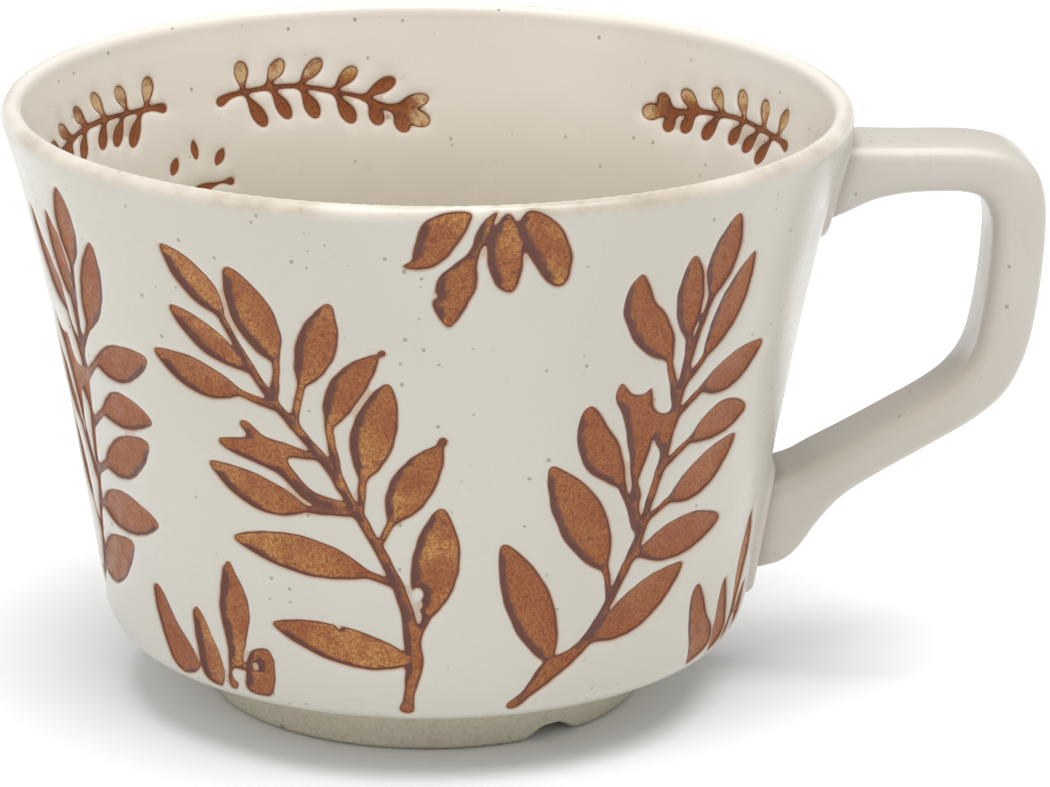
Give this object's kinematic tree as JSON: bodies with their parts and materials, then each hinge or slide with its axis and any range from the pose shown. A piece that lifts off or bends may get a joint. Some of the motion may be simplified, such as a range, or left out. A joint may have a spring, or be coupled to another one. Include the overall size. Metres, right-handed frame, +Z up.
{
  "type": "footed stoneware cup",
  "caption": "Wide footed stoneware cup with a square-shouldered strap handle, cream glaze and brown leaf sprigs left bare in the glaze.",
  "frame": {"origin": "middle of the whole object's footprint on the table, so the cup's own axis stands at x = -0.0131", "axes": "+X from the cup towards its handle, +Z up from the table to the lip, +Y completes the right-handed set"},
  "size_m": [0.1401, 0.1138, 0.0821],
  "materials": {
    "bare_clay": "unglazed stoneware body, matt and slightly gritty",
    "cream_glaze": "satin cream glaze with sparse grey-green and tan specks",
    "cream_liner": "smooth cream liner glaze",
    "leaf_stain": "thin iron-brown stain with a golden speckle and a dark edge"
  },
  "bodies": {
    "root": {"cup_body": "bare_clay", "fern_1_a": "leaf_stain", "fern_1_b": "leaf_stain", "fern_2_a": "leaf_stain", "fern_2_b": "leaf_stain", "fern_3_a": "leaf_stain", "fern_3_b": "leaf_stain", "floret_1_1": "leaf_stain", "floret_1_2": "leaf_stain", "floret_1_3": "leaf_stain", "floret_1_bar": "leaf_stain", "floret_2_1": "leaf_stain", "floret_2_2": "leaf_stain", "floret_2_3": "leaf_stain", "floret_2_bar": "leaf_stain", "floret_3_1": "leaf_stain", "floret_3_2": "leaf_stain", "floret_3_3": "leaf_stain", "floret_3_bar": "leaf_stain", "foot_ring": "bare_clay", "handle": "cream_glaze", "handle_joint_lower": "cream_glaze", "handle_joint_upper": "cream_glaze", "hanging_petal_1_1": "leaf_stain", "hanging_petal_1_2": "leaf_stain", "hanging_petal_1_3": "leaf_stain", "hanging_petal_1_4": "leaf_stain", "hanging_petal_2_1": "leaf_stain", "hanging_petal_2_2": "leaf_stain", "hanging_petal_2_3": "leaf_stain", "hanging_petal_2_4": "leaf_stain", "hanging_petal_3_1": "leaf_stain", "hanging_petal_3_2": "leaf_stain", "hanging_petal_3_3": "leaf_stain", "hanging_petal_3_4": "leaf_stain", "leaning_sprig_1": "leaf_stain", "leaning_sprig_2": "leaf_stain", "leaning_sprig_3": "leaf_stain", "liner_glaze": "cream_liner", "outer_glaze": "cream_glaze", "tuft_blade_1_1": "leaf_stain", "tuft_blade_1_2": "leaf_stain", "tuft_blade_1_3": "leaf_stain", "tuft_blade_1_4": "leaf_stain", "tuft_blade_2_1": "leaf_stain", "tuft_blade_2_2": "leaf_stain", "tuft_blade_2_3": "leaf_stain", "tuft_blade_2_4": "leaf_stain", "tuft_blade_3_1": "leaf_stain", "tuft_blade_3_2": "leaf_stain", "tuft_blade_3_3": "leaf_stain", "tuft_blade_3_4": "leaf_stain", "upright_sprig_1": "leaf_stain", "upright_sprig_2": "leaf_stain", "upright_sprig_3": "leaf_stain"}
  },
  "joints": []
}
